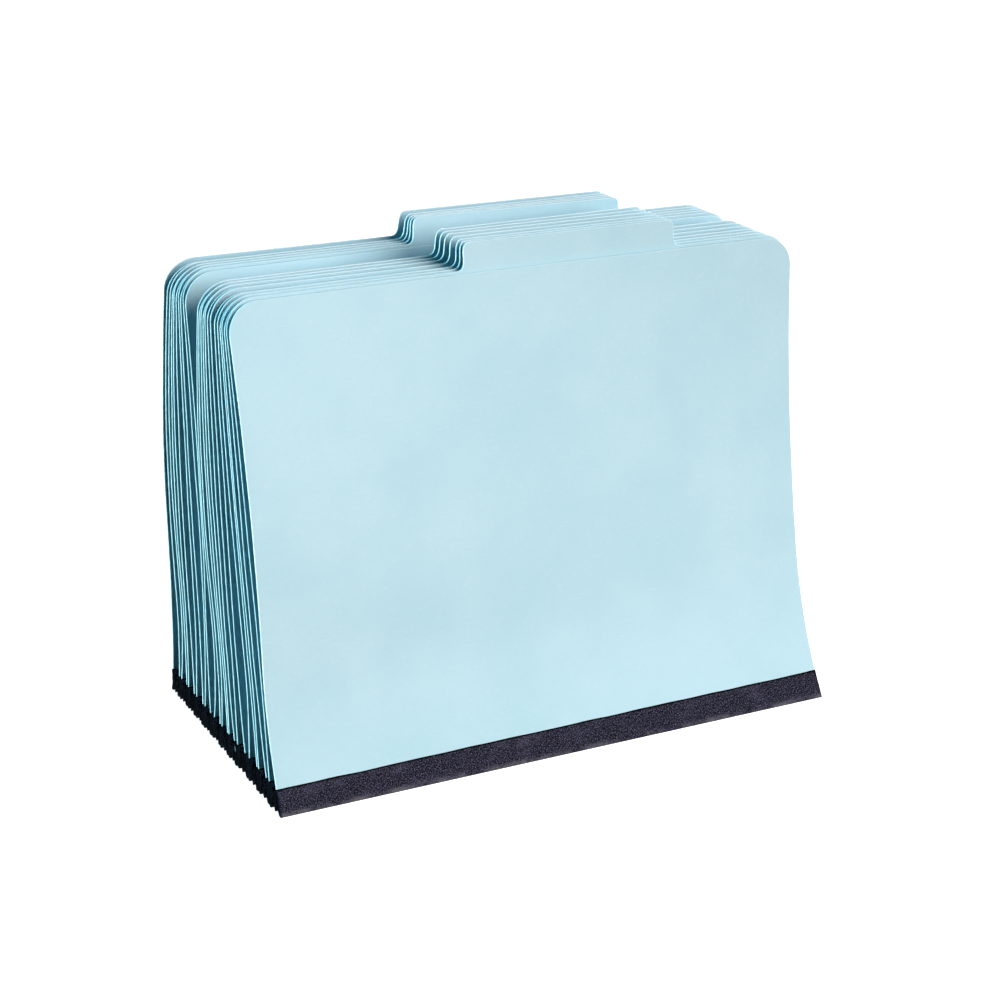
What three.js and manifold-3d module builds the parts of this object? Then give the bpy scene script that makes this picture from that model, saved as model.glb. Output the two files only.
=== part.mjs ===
import * as THREE from 'three';
import { mergeVertices } from 'three/addons/utils/BufferGeometryUtils.js';
import Module from 'manifold-3d';

// Twelve letter-size pressboard folders that stand on their gussets, in millimetres.
// X runs along the width, Y from the front folder to the rear one, Z up from the table.

const wasm = await Module();
wasm.setup();

// Board panels
const folderWidth = 298.5;
const rearBodyHeight = 234.9;
const frontUndercut = 1;
const boardThickness = 0.64;
const cornerRadius = 18;
const cutMargin = 1;

// Tab on each rear cover
const tabHeight = 13;
const tabTopWidth = 106;
const tabShoulder = 7;
const tabCentre = 27;

// Cloth tape: the strips on both covers and the pleats between them
const tapeThickness = 0.35;
const tapeHeight = 12.5;
const glueGap = 0.1;
const pleatPeak = 11;
const pleatClearance = 0.3;
const foldChamfer = 0.45;
const valleyFlat = 1;
const footLength = 0.9;

// Prong fastener on the inside of each rear cover
const fastenerWidth = 82;
const fastenerHeight = 11;
const stripThickness = 0.3;
const prongWidth = 5.5;
const prongThickness = 0.25;
const prongSpacing = 70;
const prongLength = 31;
const barWidth = 78;
const barHeight = 7.5;
const barThickness = 0.35;
const fastenerDrop = 14;
const adhesiveGap = 0.35;

// How the set stands, in three groups from the front. Depths are measured from the set's front
// foot at both ends of a cover: stem is where it would start without the flare of its foot, top
// is at the body's top edge, and bow is how far the middle of its height lies behind the
// straight line between the two. The left ends fan out unevenly and are listed one by one, front
// and rear cover in turn. The right ends go evenly from a group's first cover to its last, and
// so does the crown, by which the middle of a top edge lies behind its ends.
const folderGap = 0.35;
const insideShare = 0.7;
const frontOpening = 14.4;
const middleOpening = 12;
const rearOpening = 12.2;
const groups = [
  {
    folders: 4,
    opening: frontOpening,
    leftStem: [17.5, 14, 21, 23.5, 26.5, 29.5, 48.5, 52],
    leftTop: [49, 52, 53.5, 56.5, 58.5, 61.5, 65, 70.5],
    leftBow: [-11, -3.5, -1, 3, 2.5, 6.5, 2.5, 6],
    rightStem: [13, 72],
    rightTop: [48.5, 66.5],
    crown: [2, 1],
  },
  {
    folders: 3,
    opening: middleOpening,
    leftStem: [63.5, 61.5, 60.5, 63, 65, 70],
    leftTop: [74, 77, 78, 81.5, 82.5, 85.5],
    leftBow: [4, 9.5, 13.5, 14.5, 18, 17.5],
    rightStem: [74, 93],
    rightTop: [68.5, 87.5],
    crown: [1, 1],
  },
  {
    folders: 5,
    opening: rearOpening,
    leftStem: [102.5, 102, 102.5, 111.5, 115, 118, 121.5, 122, 130, 144.5],
    leftTop: [107.5, 111, 112, 115.5, 116.5, 119.5, 120.5, 124, 127.5, 134],
    leftBow: [-8.5, -4.5, 4, 3.5, 9.5, 14, 15.5, 18.5, 17.5, 13.5],
    rightStem: [100, 151],
    rightTop: [103.5, 127],
    crown: [3, 0.5],
  },
];
const rightBow = 8;
const flareHeight = 72;

// Facets
const widthStations = 5;
const boardRows = 5;
const cornerSegments = 4;

const boardOffset = tapeThickness + glueGap;
const frontCoverHeight = rearBodyHeight - frontUndercut;
const boardBottom = tapeThickness + glueGap;
const setDepth = groups.reduce((sum, group) => sum + group.folders * (group.opening + folderGap), -folderGap);

const boardMaterial = { color: 0xc5e3eb, roughness: 0.82, metalness: 0 };
const tapeMaterial = { color: 0x2f2e38, roughness: 0.72, metalness: 0 };
const steelMaterial = { color: 0xb4b9be, roughness: 0.35, metalness: 1 };

// A leaf is the surface that one cover's outer face lies in. Its depths are taken from its
// folder's front foot, cover being its number in the group.
function makeLeaf(group, cover, foot, front) {
  const place = Math.floor(cover / 2) + (cover % 2) * insideShare;
  const share = place / (group.folders - 1 + insideShare);
  const between = ([first, last]) => THREE.MathUtils.lerp(first, last, share);
  return {
    foot,
    crown: between(group.crown),
    left: {
      stem: group.leftStem[cover] - front,
      top: group.leftTop[cover] - front,
      bow: group.leftBow[cover],
    },
    right: {
      stem: between(group.rightStem) - front,
      top: between(group.rightTop) - front,
      bow: rightBow,
    },
  };
}

function endDepth(end, foot, z) {
  const rise = z / rearBodyHeight;
  const flare = (foot - end.stem) * Math.max(0, 1 - z / flareHeight) ** 2;
  return THREE.MathUtils.lerp(end.stem, end.top, rise) + end.bow * 4 * rise * (1 - rise) + flare;
}

function leafDepth(leaf, x, z) {
  const across = x / folderWidth + 0.5;
  const left = endDepth(leaf.left, leaf.foot, z);
  const right = endDepth(leaf.right, leaf.foot, z);
  const crown = leaf.crown * 4 * across * (1 - across) * (z / rearBodyHeight);
  return THREE.MathUtils.lerp(left, right, across) + crown;
}

// The folders in order from the front, each with its two leaves.
function layOutFolders() {
  const folders = [];
  let front = 0;
  for (const group of groups) {
    for (let i = 0; i < group.folders; i += 1) {
      folders.push({
        front,
        opening: group.opening,
        frontLeaf: makeLeaf(group, 2 * i, boardOffset, front),
        rearLeaf: makeLeaf(group, 2 * i + 1, group.opening - boardOffset, front),
      });
      front += group.opening + folderGap;
    }
  }
  return folders;
}

// A closed solid: a profile of (offset, height) points carried across the folder's width.
function loftAcrossWidth(profile, placeDepth, width = folderWidth) {
  const points = THREE.ShapeUtils.isClockWise(profile) ? profile.slice().reverse() : profile;
  const count = points.length;
  const position = [];
  const index = [];
  for (let station = 0; station < widthStations; station += 1) {
    const x = width * (station / (widthStations - 1) - 0.5);
    for (const point of points) {
      position.push(x, placeDepth(x, point), point.y);
    }
  }
  for (let station = 0; station < widthStations - 1; station += 1) {
    for (let i = 0; i < count; i += 1) {
      const next = (i + 1) % count;
      const a = station * count + i;
      const b = station * count + next;
      const c = a + count;
      const d = b + count;
      if (points[i].y <= points[next].y) {
        index.push(a, b, d, a, d, c);
      } else {
        index.push(a, b, c, b, d, c);
      }
    }
  }
  const last = (widthStations - 1) * count;
  for (const [a, b, c] of THREE.ShapeUtils.triangulateShape(points, [])) {
    index.push(a, c, b);
    index.push(last + a, last + b, last + c);
  }
  const geometry = new THREE.BufferGeometry();
  geometry.setAttribute('position', new THREE.Float32BufferAttribute(position, 3));
  geometry.setIndex(index);
  return geometry;
}

// A band of even thickness along a line of (offset, height) points.
function ribbonProfile(line, thickness) {
  const left = [];
  const right = [];
  line.forEach((point, i) => {
    const before = point.clone().sub(line[Math.max(i - 1, 0)]).normalize();
    const after = line[Math.min(i + 1, line.length - 1)].clone().sub(point).normalize();
    if (i === 0) before.copy(after);
    if (i === line.length - 1) after.copy(before);
    const sum = new THREE.Vector2(-before.y - after.y, before.x + after.x);
    const offset = sum.multiplyScalar(thickness / 2 / (1 + before.dot(after)));
    left.push(point.clone().add(offset));
    right.push(point.clone().sub(offset));
  });
  return left.concat(right.reverse());
}

function toManifold(geometry) {
  const bare = new THREE.BufferGeometry();
  bare.setAttribute('position', geometry.getAttribute('position').clone());
  if (geometry.index) bare.setIndex(geometry.index.clone());
  const merged = mergeVertices(bare, 1e-4);
  return new wasm.Manifold(new wasm.Mesh({
    numProp: 3,
    vertProperties: new Float32Array(merged.getAttribute('position').array),
    triVerts: new Uint32Array(merged.index.array),
  }));
}

function toGeometry(manifold) {
  const mesh = manifold.getMesh();
  const geometry = new THREE.BufferGeometry();
  geometry.setAttribute('position', new THREE.Float32BufferAttribute(mesh.vertProperties, 3));
  geometry.setIndex(Array.from(mesh.triVerts));
  return geometry;
}

// The flat outline that a cover is die-cut to, with the tab where it has one. It passes the
// board's lower edge, which is already straight.
function coverOutline(height, hasTab) {
  const half = folderWidth / 2;
  const tabBase = tabTopWidth / 2 + tabShoulder;
  const tabTop = tabTopWidth / 2;
  const shape = new THREE.Shape();
  const shoulder = height - cornerRadius;
  shape.moveTo(-half, boardBottom - cutMargin);
  shape.lineTo(half, boardBottom - cutMargin);
  shape.absarc(half - cornerRadius, shoulder, cornerRadius, 0, Math.PI / 2);
  if (hasTab) {
    const base = tabCentre + tabBase;
    const top = tabCentre + tabTop;
    shape.lineTo(base, height);
    shape.bezierCurveTo(top, height, base, height + tabHeight, top, height + tabHeight);
    shape.lineTo(2 * tabCentre - top, height + tabHeight);
    shape.bezierCurveTo(
      2 * tabCentre - base, height + tabHeight,
      2 * tabCentre - top, height,
      2 * tabCentre - base, height,
    );
  }
  shape.absarc(-half + cornerRadius, shoulder, cornerRadius, Math.PI / 2, Math.PI);
  return shape;
}

// A prism through the whole depth that cuts a bent board to its outline.
function outlineCutter(shape) {
  const depth = 3 * setDepth;
  const prism = new THREE.ExtrudeGeometry(shape, {
    depth,
    bevelEnabled: false,
    curveSegments: cornerSegments,
  });
  prism.rotateX(Math.PI / 2);
  prism.translate(0, depth / 2 + setDepth / 2, 0);
  return toManifold(prism);
}

// Heights of a board's facet rows: close together where the foot flares, wider above, and one
// row along each long edge of the fastener so that it seats on a flat stretch.
function boardHeights(top) {
  const heights = [boardBottom, tapeHeight];
  const seat = rearBodyHeight - fastenerDrop;
  const seatFoot = seat - fastenerHeight / 2;
  for (let row = 1; row <= boardRows; row += 1) {
    heights.push(tapeHeight + (seatFoot - tapeHeight) * (row / boardRows) ** 1.3);
  }
  heights.push(seat + fastenerHeight / 2, top);
  return heights;
}

function makeBoard(leaf, outer, inner, height, hasTab, cutter) {
  const heights = boardHeights(height + (hasTab ? tabHeight : 0) + cutMargin);
  const up = heights.map((z) => new THREE.Vector2(outer, z));
  const down = heights.map((z) => new THREE.Vector2(inner, z)).reverse();
  const place = (x, point) => leafDepth(leaf, x, point.y) + point.x;
  const slab = loftAcrossWidth(up.concat(down), place, folderWidth + 2 * cutMargin);
  return toGeometry(toManifold(slab).intersect(cutter));
}

// The tape that binds the front cover's foot: up its outside, under its lower edge and up its
// inside.
function makeFrontTape(folder) {
  const centre = tapeThickness / 2;
  const outside = centre - boardOffset;
  const inside = boardThickness + glueGap + centre;
  const line = [
    new THREE.Vector2(inside, tapeHeight),
    new THREE.Vector2(inside, centre),
    new THREE.Vector2(outside, centre),
    new THREE.Vector2(outside, tapeHeight),
  ];
  return loftAcrossWidth(ribbonProfile(line, tapeThickness), (x, point) => (
    leafDepth(folder.frontLeaf, x, point.y) + point.x
  ));
}

// The pleats between the covers and, from the same tape, the strips on both sides of the rear
// cover's foot.
function makeGusset(folder) {
  const centre = tapeThickness / 2;
  const lining = boardThickness + glueGap + tapeThickness + pleatClearance;
  const span = folder.opening - 2 * (boardOffset + lining);
  const pitch = span / 4;
  const peak = pleatPeak - centre;
  const line = [new THREE.Vector2(0, centre), new THREE.Vector2(footLength, centre)];
  for (const crest of [pitch, 3 * pitch]) {
    line.push(new THREE.Vector2(crest - foldChamfer, peak - foldChamfer));
    line.push(new THREE.Vector2(crest, peak));
    line.push(new THREE.Vector2(crest + foldChamfer, peak - foldChamfer));
    if (crest === pitch) {
      line.push(new THREE.Vector2(2 * pitch - valleyFlat / 2, centre));
      line.push(new THREE.Vector2(2 * pitch + valleyFlat / 2, centre));
    }
  }
  const inside = span + pleatClearance + centre;
  const outside = span + lining + glueGap + centre;
  line.push(new THREE.Vector2(span - footLength, centre));
  line.push(new THREE.Vector2(outside, centre));
  line.push(new THREE.Vector2(outside, tapeHeight));
  const strip = [new THREE.Vector2(inside, centre), new THREE.Vector2(inside, tapeHeight)];
  const place = (x, point) => {
    const front = leafDepth(folder.frontLeaf, x, point.y) + lining;
    const rear = leafDepth(folder.rearLeaf, x, point.y) - lining;
    const beyond = Math.max(0, point.x - span);
    return THREE.MathUtils.lerp(front, rear, Math.min(point.x, span) / span) + beyond;
  };
  const [pleats, inner] = [line, strip].map((path) => (
    toManifold(loftAcrossWidth(ribbonProfile(path, tapeThickness), place))
  ));
  return toGeometry(pleats.add(inner));
}

function flatPiece(shape, from, thickness) {
  const piece = new THREE.ExtrudeGeometry(shape, {
    depth: thickness,
    bevelEnabled: false,
    curveSegments: 2,
  });
  piece.rotateX(Math.PI / 2);
  piece.translate(0, -from, 0);
  return toManifold(piece);
}

function roundEndedBar(width, height) {
  const radius = height / 2;
  const half = width / 2 - radius;
  const shape = new THREE.Shape();
  shape.moveTo(0, -radius);
  shape.absarc(half, 0, radius, -Math.PI / 2, Math.PI / 2);
  shape.absarc(-half, 0, radius, Math.PI / 2, 1.5 * Math.PI);
  return shape;
}

// A prong folded flat towards the middle, with its pointed end.
function prongOutline(side) {
  const root = side * prongSpacing / 2;
  const tip = side * (prongSpacing / 2 - prongLength);
  const neck = tip + side * prongWidth / 2;
  const half = side * prongWidth / 2;
  const shape = new THREE.Shape();
  shape.moveTo(root, -half);
  shape.lineTo(root, half);
  shape.lineTo(neck, half);
  shape.lineTo(tip, half / 3);
  shape.lineTo(tip, -half / 3);
  shape.lineTo(neck, -half);
  return shape;
}

// The compressor bar lies over the folded prongs, open along the middle where they show.
function compressorOutline() {
  const shape = roundEndedBar(barWidth, barHeight);
  const window = new THREE.Path();
  const half = prongSpacing / 2 - prongWidth;
  const edge = barHeight / 5;
  window.moveTo(-half, -edge);
  window.lineTo(-half, edge);
  window.lineTo(half, edge);
  window.lineTo(half, -edge);
  shape.holes.push(window);
  return shape;
}

function makeFastener() {
  const strip = flatPiece(roundEndedBar(fastenerWidth, fastenerHeight), 0, stripThickness);
  const prongs = [-1, 1].map((side) => (
    flatPiece(prongOutline(side), stripThickness / 2, stripThickness / 2 + prongThickness)
  ));
  const bar = flatPiece(compressorOutline(), stripThickness + prongThickness / 2,
    prongThickness / 2 + barThickness);
  return toGeometry(strip.add(prongs[0]).add(prongs[1]).add(bar));
}

// The depth of a cover's facets, which run straight from one station to the next.
function facetDepth(leaf, x, z) {
  const step = folderWidth / (widthStations - 1);
  const before = Math.floor(x / step) * step;
  const after = before + step;
  const share = (x - before) / step;
  return THREE.MathUtils.lerp(leafDepth(leaf, before, z), leafDepth(leaf, after, z), share);
}

// The fastener's own axes: X along the cover, Y into the board and Z up the board.
function seatFastener(mesh, leaf) {
  const height = rearBodyHeight - fastenerDrop;
  const place = (x, z) => new THREE.Vector3(x, facetDepth(leaf, x, z) - boardThickness, z);
  const left = place(-fastenerWidth / 2, height);
  const right = place(fastenerWidth / 2, height);
  const along = right.clone().sub(left).normalize();
  const rise = place(0, height + fastenerHeight / 2).sub(place(0, height - fastenerHeight / 2));
  const inward = new THREE.Vector3().crossVectors(rise, along).normalize();
  const up = new THREE.Vector3().crossVectors(along, inward);
  mesh.quaternion.setFromRotationMatrix(new THREE.Matrix4().makeBasis(along, inward, up));
  mesh.position.copy(left.add(right).multiplyScalar(0.5)).addScaledVector(inward, -adhesiveGap);
}

function addMesh(parent, name, geometry, finish) {
  const material = new THREE.MeshStandardMaterial({ ...finish, flatShading: true });
  const mesh = new THREE.Mesh(geometry, material);
  mesh.name = name;
  parent.add(mesh);
  return mesh;
}

const frontCutter = outlineCutter(coverOutline(frontCoverHeight, false));
const rearCutter = outlineCutter(coverOutline(rearBodyHeight, true));
const fastenerGeometry = makeFastener();

const folderSet = new THREE.Group();
folderSet.position.y = -setDepth / 2;

layOutFolders().forEach((folder, i) => {
  const number = String(i + 1).padStart(2, '0');
  const group = new THREE.Group();
  group.position.y = folder.front;
  folderSet.add(group);

  const frontBoard = makeBoard(folder.frontLeaf, 0, boardThickness, frontCoverHeight, false, frontCutter);
  addMesh(group, `front_cover_${number}`, frontBoard, boardMaterial);
  addMesh(group, `front_tape_${number}`, makeFrontTape(folder), tapeMaterial);
  addMesh(group, `gusset_${number}`, makeGusset(folder), tapeMaterial);
  const rearBoard = makeBoard(folder.rearLeaf, -boardThickness, 0, rearBodyHeight, true, rearCutter);
  addMesh(group, `rear_cover_${number}`, rearBoard, boardMaterial);
  const fastener = addMesh(group, `fastener_${number}`, fastenerGeometry.clone(), steelMaterial);
  seatFastener(fastener, folder.rearLeaf);
});

export default folderSet;
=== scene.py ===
"""Twelve letter-size pressboard folders standing on their cloth gussets in a plain studio."""

import math
import random

import bpy
import numpy as np
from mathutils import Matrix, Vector
from mathutils.geometry import delaunay_2d_cdt


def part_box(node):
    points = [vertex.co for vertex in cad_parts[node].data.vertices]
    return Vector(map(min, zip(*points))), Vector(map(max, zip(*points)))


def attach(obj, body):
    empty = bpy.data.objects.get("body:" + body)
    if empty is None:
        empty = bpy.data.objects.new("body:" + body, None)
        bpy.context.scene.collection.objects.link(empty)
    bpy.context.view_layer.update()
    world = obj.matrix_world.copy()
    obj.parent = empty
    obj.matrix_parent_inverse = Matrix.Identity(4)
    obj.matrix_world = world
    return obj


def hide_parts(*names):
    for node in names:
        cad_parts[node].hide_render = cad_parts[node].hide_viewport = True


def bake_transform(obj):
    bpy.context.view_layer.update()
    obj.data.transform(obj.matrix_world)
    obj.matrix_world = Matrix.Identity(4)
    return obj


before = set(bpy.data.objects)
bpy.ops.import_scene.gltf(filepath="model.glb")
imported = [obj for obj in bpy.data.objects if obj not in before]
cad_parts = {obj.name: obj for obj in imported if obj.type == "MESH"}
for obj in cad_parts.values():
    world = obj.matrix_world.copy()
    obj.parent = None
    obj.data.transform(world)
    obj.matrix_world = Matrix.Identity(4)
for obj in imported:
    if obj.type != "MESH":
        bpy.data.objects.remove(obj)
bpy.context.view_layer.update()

MM = 0.001

# Sizes that the CAD solids give
FOLDERS = sum(name.startswith("rear_cover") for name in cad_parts)
FOLDER_WIDTH = 2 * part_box("rear_cover_01")[1].x
BOARD_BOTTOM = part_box("front_cover_01")[0].z
FRONT_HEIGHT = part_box("front_cover_01")[1].z
TAB_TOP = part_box("rear_cover_01")[1].z
TAPE_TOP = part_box("front_tape_01")[1].z

# Sizes of the boards
BOARD_THICKNESS = 0.64 * MM
FRONT_UNDERCUT = 1 * MM
BODY_HEIGHT = FRONT_HEIGHT + FRONT_UNDERCUT
CORNER_RADIUS = 15 * MM
TAB_CENTRE = 27 * MM
TAB_TOP_WIDTH = 106 * MM
TAB_SHOULDER = 7 * MM
FLARE_HEIGHT = 72 * MM
CUT_STEP = 1.1 * MM
ROLLED_WIDTH = 0.4 * MM
ROLLED_DROP = 0.12 * MM
BURR_ROUNDING = 0.05 * MM
BACK_ROUNDING = 0.8 * ROLLED_WIDTH
SHEET_STEP = 5 * MM
SHEET_MARGIN = 0.45 * SHEET_STEP
SHOULDER_STRETCH = 1.4
WELD_DISTANCE = 1e-7

# How far an old board waves and how its cut edge frays
WAVE_LENGTH = 75 * MM
MOST_WAVE = 4 * MM
WAVE_SHARE = 0.32
FRONT_WAVE_SHARE = 0.12
WAVE_GAIN = 4.2
WAVE_SEED_STEP = 3.7
CALM_ABOVE_TAPE = (1 * MM, 45 * MM)
CALM_BELOW_TOP = (90 * MM, 15 * MM)
CALM_TOP_SHARE = 0.8
OPEN_SIDE = 20 * MM
FRAY = 0.3 * MM

# Sizes of the cloth tape
TAPE_THICKNESS = 0.35 * MM
GLUE_GAP = 0.1 * MM
BOARD_OFFSET = TAPE_THICKNESS + GLUE_GAP
TAPE_MIDDLE = TAPE_THICKNESS / 2
# How far the cloth's middle line lies inwards of a cover's outer face, on either side of it
OUTSIDE = TAPE_MIDDLE - BOARD_OFFSET
LINING = BOARD_THICKNESS + GLUE_GAP + TAPE_MIDDLE
PLEAT_CLEARANCE = 0.3 * MM
PLEAT_PEAK = 11 * MM
FOLD_RADIUS = 0.7 * MM
TAPE_STEP = 3 * MM
TAPE_OVERHANG = 0.35 * MM
RAGGED_SHARE = 0.6
END_PINCH = 0.75
HUG_REACH = BOARD_THICKNESS / 2 + GLUE_GAP + TAPE_THICKNESS * 1.01
LINE_STEP = 1.6 * MM
FOLD_STEPS = 5
PLEAT_REST = 0.7 * MM
PUCKER = 0.15 * MM
PUCKER_START = 1 * MM
PUCKER_RISE = 6 * MM
PUCKER_ACROSS = (0.02, 0.12)
PUCKER_UP = (0.004, 0.03)
PUCKER_WAVES = 6
PUCKER_SUM = 3.2
TURN = 6.28

# Sizes of the prong fasteners
FASTENER_WIDTH = 82 * MM
FASTENER_HEIGHT = 11 * MM
FASTENER_DROP = 14 * MM
FASTENER_GAP = 0.35 * MM
STRIP_THICKNESS = 0.3 * MM
PRONG_WIDTH = 5.5 * MM
PRONG_SPACING = 70 * MM
PRONG_LENGTH = 31 * MM
PRONG_THICKNESS = 0.25 * MM
BAR_WIDTH = 78 * MM
BAR_HEIGHT = 7.5 * MM
BAR_THICKNESS = 0.35 * MM
BAR_END = 6 * MM
RAIL_SHARE = 0.3
RAIL_SHORTER = 4 * MM
SLIDE_PLACE = 20 * MM
SLIDE_HALF_WIDTH = 3
SLIDE_HALF_HEIGHT = 4.4
SLIDE_DEPTH = 0.12 * MM
SLIDE_RISE = 0.05 * MM
STACK_GAP = 0.01 * MM
PLATE_CHAMFER = 0.05 * MM
ROUND_END_POINTS = 9
CALM_CENTRE = 0.37 * FASTENER_WIDTH + 30 * MM

# The camera that took the photograph, found from the folders' own outline
CAMERA_PLACE = (-469.17 * MM, -959.31 * MM, 500.37 * MM)
CAMERA_TARGET = (-17.01 * MM, -39.22 * MM, 122.6 * MM)
CAMERA_ROLL = math.radians(0.05)
CAMERA_LENS = 81.4
CAMERA_SENSOR = 36

# The studio, with places and sizes in metres
DIM_COLOUR = (0.5, 0.88, 1.0, 1)
DIM_STRENGTH = 0.015
KEY_PLACE = (0.55, -1.0, 0.6)
KEY_STRENGTH = 5.3
KEY_COLOUR = (1.0, 0.77, 0.725)
KEY_SOFTNESS = math.radians(40)
BACK_PLACE = (0.5, 1.0, 0.2)
BACK_STRENGTH = 4.6
BACK_COLOUR = (1.0, 0.86, 0.84)
BACK_SOFTNESS = math.radians(20)
SIDE_PLACE = (-1.0, 0.035, 0.15)
SIDE_STRENGTH = 5.8
SIDE_COLOUR = (0.5, 0.92, 1.0)
SIDE_SOFTNESS = math.radians(1)
TOP_PLACE = (-0.1, 0.05, 1.0)
TOP_STRENGTH = 0.7
TOP_COLOUR = (0.35, 0.86, 1.0)
TOP_SOFTNESS = math.radians(60)
FLOOR_GLOW = 0.95
FLOOR_REACH = 15
LIGHT_TARGET = (0, 0, 0.12)
DIFFUSE_BOUNCES = 8

# Colours
BOARD_BLUE = (0.325, 0.61, 0.71, 1)
BOARD_CLOUD = (0.36, 0.645, 0.745, 1)
BOARD_FIBRE = (0.45, 0.70, 0.78, 1)
BOARD_FLECK = (0.24, 0.52, 0.62, 1)
# The rim's white: partly paler cut fibre, partly a painted highlight
BOARD_CUT_AND_HIGHLIGHT = (0.96, 0.97, 0.98, 1)
TAPE_BLACK = (0.003, 0.006, 0.01, 1)
TAPE_WORN = (0.155, 0.175, 0.3, 1)
TAPE_CREASE = (0.16, 0.19, 0.22, 1)
# Near black, for painted shade: between the threads, on the tape's ends and along its top
TAPE_PAINTED_SHADE = (0.002, 0.0012, 0.0016, 1)
STEEL = (0.56, 0.57, 0.58, 1)
STEEL_DULL = (0.36, 0.37, 0.38, 1)
FLOOR_GREY = (0.9, 0.9, 0.9, 1)
FLOOR_PALE = (0.93, 0.93, 0.93, 1)

# Scales of the finishes' noise, per metre
CLOUD_SCALE = 16
GRAIN_SCALE = 1100
LONG_FIBRE_SCALE = 900
CROSS_FIBRE_SCALE = 700
FLECK_SCALE = 420
FLECK_PATCH_SCALE = 130
KNOT_SCALE = 520
SLUB_SCALE = 3300
WRINKLE_SCALE = 110
CREASE_SCALE = 60
DRIFT_SCALE = 90
DRAWN_SCALE = 2600
FLOOR_SCALE = 3

# Depths and places in the finishes
BOARD_RELIEF = 0.06 * MM
CLOTH_RELIEF = 0.08 * MM
STEEL_RELIEF = 0.02 * MM
THREAD = 0.42 * MM
THREAD_DRIFT = 0.0012
CREASE_HEIGHTS = (0.8 * MM, 3.2 * MM)
# Below the tape's top, where its painted shadow line starts and where it is full
TOP_SHADOW_DEPTHS = (0.7 * MM, 0.4 * MM)


def number(index):
    return f"{index + 1:02d}"


# Node trees read as formulas: a Value is a socket that can be added, multiplied and so on.
class Value:
    def __init__(self, tree, socket):
        self.tree, self.socket = tree, socket

    def math(self, operation, *others):
        node = self.tree.nodes.new("ShaderNodeMath")
        node.operation = operation
        for slot, value in zip(node.inputs, (self, *others)):
            plug(self.tree, value, slot)
        return Value(self.tree, node.outputs[0])

    def __add__(self, other):
        return self.math("ADD", other)

    def __sub__(self, other):
        return self.math("SUBTRACT", other)

    def __rsub__(self, other):
        return (self * -1) + other

    def __mul__(self, other):
        return self.math("MULTIPLY", other)

    def __truediv__(self, other):
        return self.math("DIVIDE", other)

    def __pow__(self, other):
        return self.math("POWER", other)

    __radd__, __rmul__ = __add__, __mul__


def plug(tree, value, slot):
    """Links a Value to a socket, or sets the socket to a plain value."""
    if isinstance(value, Value):
        tree.links.new(value.socket, slot)
    else:
        slot.default_value = value


def positive(value):
    """The value, or 0 where it is less, of a Value or an array."""
    if isinstance(value, Value):
        return value.math("MAXIMUM", 0.0)
    return np.maximum(value, 0)


def ramp(tree, value, low, high):
    """0 where value is at low, 1 where it is at high."""
    node = tree.nodes.new("ShaderNodeMapRange")
    node.interpolation_type = "SMOOTHSTEP"
    plug(tree, value, node.inputs["Value"])
    node.inputs["From Min"].default_value = low
    node.inputs["From Max"].default_value = high
    return Value(tree, node.outputs["Result"])


def vector(tree, x, y, z):
    node = tree.nodes.new("ShaderNodeCombineXYZ")
    for slot, value in zip(node.inputs, (x, y, z)):
        plug(tree, value, slot)
    return Value(tree, node.outputs[0])


def parts(tree, socket):
    """The three parts of a vector."""
    node = tree.nodes.new("ShaderNodeSeparateXYZ")
    plug(tree, socket, node.inputs[0])
    return [Value(tree, out) for out in node.outputs]


def noise(tree, place, scale, detail=2.0, roughness=0.5, seed=None, output="Fac"):
    node = tree.nodes.new("ShaderNodeTexNoise")
    if seed is not None:
        node.noise_dimensions = "4D"
        plug(tree, seed, node.inputs["W"])
    plug(tree, place, node.inputs["Vector"])
    node.inputs["Scale"].default_value = scale
    node.inputs["Detail"].default_value = detail
    node.inputs["Roughness"].default_value = roughness
    return Value(tree, node.outputs[output])


def new_group(name, kind, inputs, outputs):
    """A node group, with its input values by name and a function that sets an output."""
    tree = bpy.data.node_groups.new(name, kind)
    for side, sockets in (("INPUT", inputs), ("OUTPUT", outputs)):
        for label, socket in sockets.items():
            tree.interface.new_socket(name=label, in_out=side, socket_type="NodeSocket" + socket)
    entry = tree.nodes.new("NodeGroupInput")
    leave = tree.nodes.new("NodeGroupOutput")
    given = {label: Value(tree, entry.outputs[label]) for label in inputs}

    def give(label, value):
        plug(tree, value, leave.inputs[label])

    return tree, given, give


def use_group(tree, group, **values):
    """Places a node group in a tree. Input names are written with _ for a space."""
    kind = "GeometryNodeGroup" if tree.bl_idname == "GeometryNodeTree" else "ShaderNodeGroup"
    node = tree.nodes.new(kind)
    node.node_tree = group
    for label, value in values.items():
        plug(tree, value, node.inputs[label.replace("_", " ")])
    return {out.name: Value(tree, out) for out in node.outputs}


def set_inputs(modifier, values):
    """Sets a Geometry Nodes modifier's inputs by their sockets' identifiers."""
    for item in modifier.node_group.interface.items_tree:
        if item.in_out == "INPUT" and item.name in values:
            modifier[item.identifier] = values[item.name]


def bake(piece):
    """Makes the piece's modifiers part of its mesh."""
    graph = bpy.context.evaluated_depsgraph_get()
    mesh = bpy.data.meshes.new_from_object(piece.evaluated_get(graph))
    piece.modifiers.clear()
    old = piece.data
    piece.data = mesh
    bpy.data.meshes.remove(old)


def new_piece(name, vertices, faces, material=None):
    """A smooth-shaded piece in the scene, from its vertices and faces."""
    mesh = bpy.data.meshes.new(name)
    mesh.from_pydata([tuple(v) for v in vertices], [], faces)
    piece = bpy.data.objects.new(name, mesh)
    bpy.context.scene.collection.objects.link(piece)
    if material:
        mesh.materials.append(material)
    mesh.shade_smooth()
    return piece


# How a cover bends
TERMS = ["Stem", "Stem Twist", "Foot Flare", "Lean", "Twist", "Crown", "Bow", "Bow Twist"]


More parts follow.
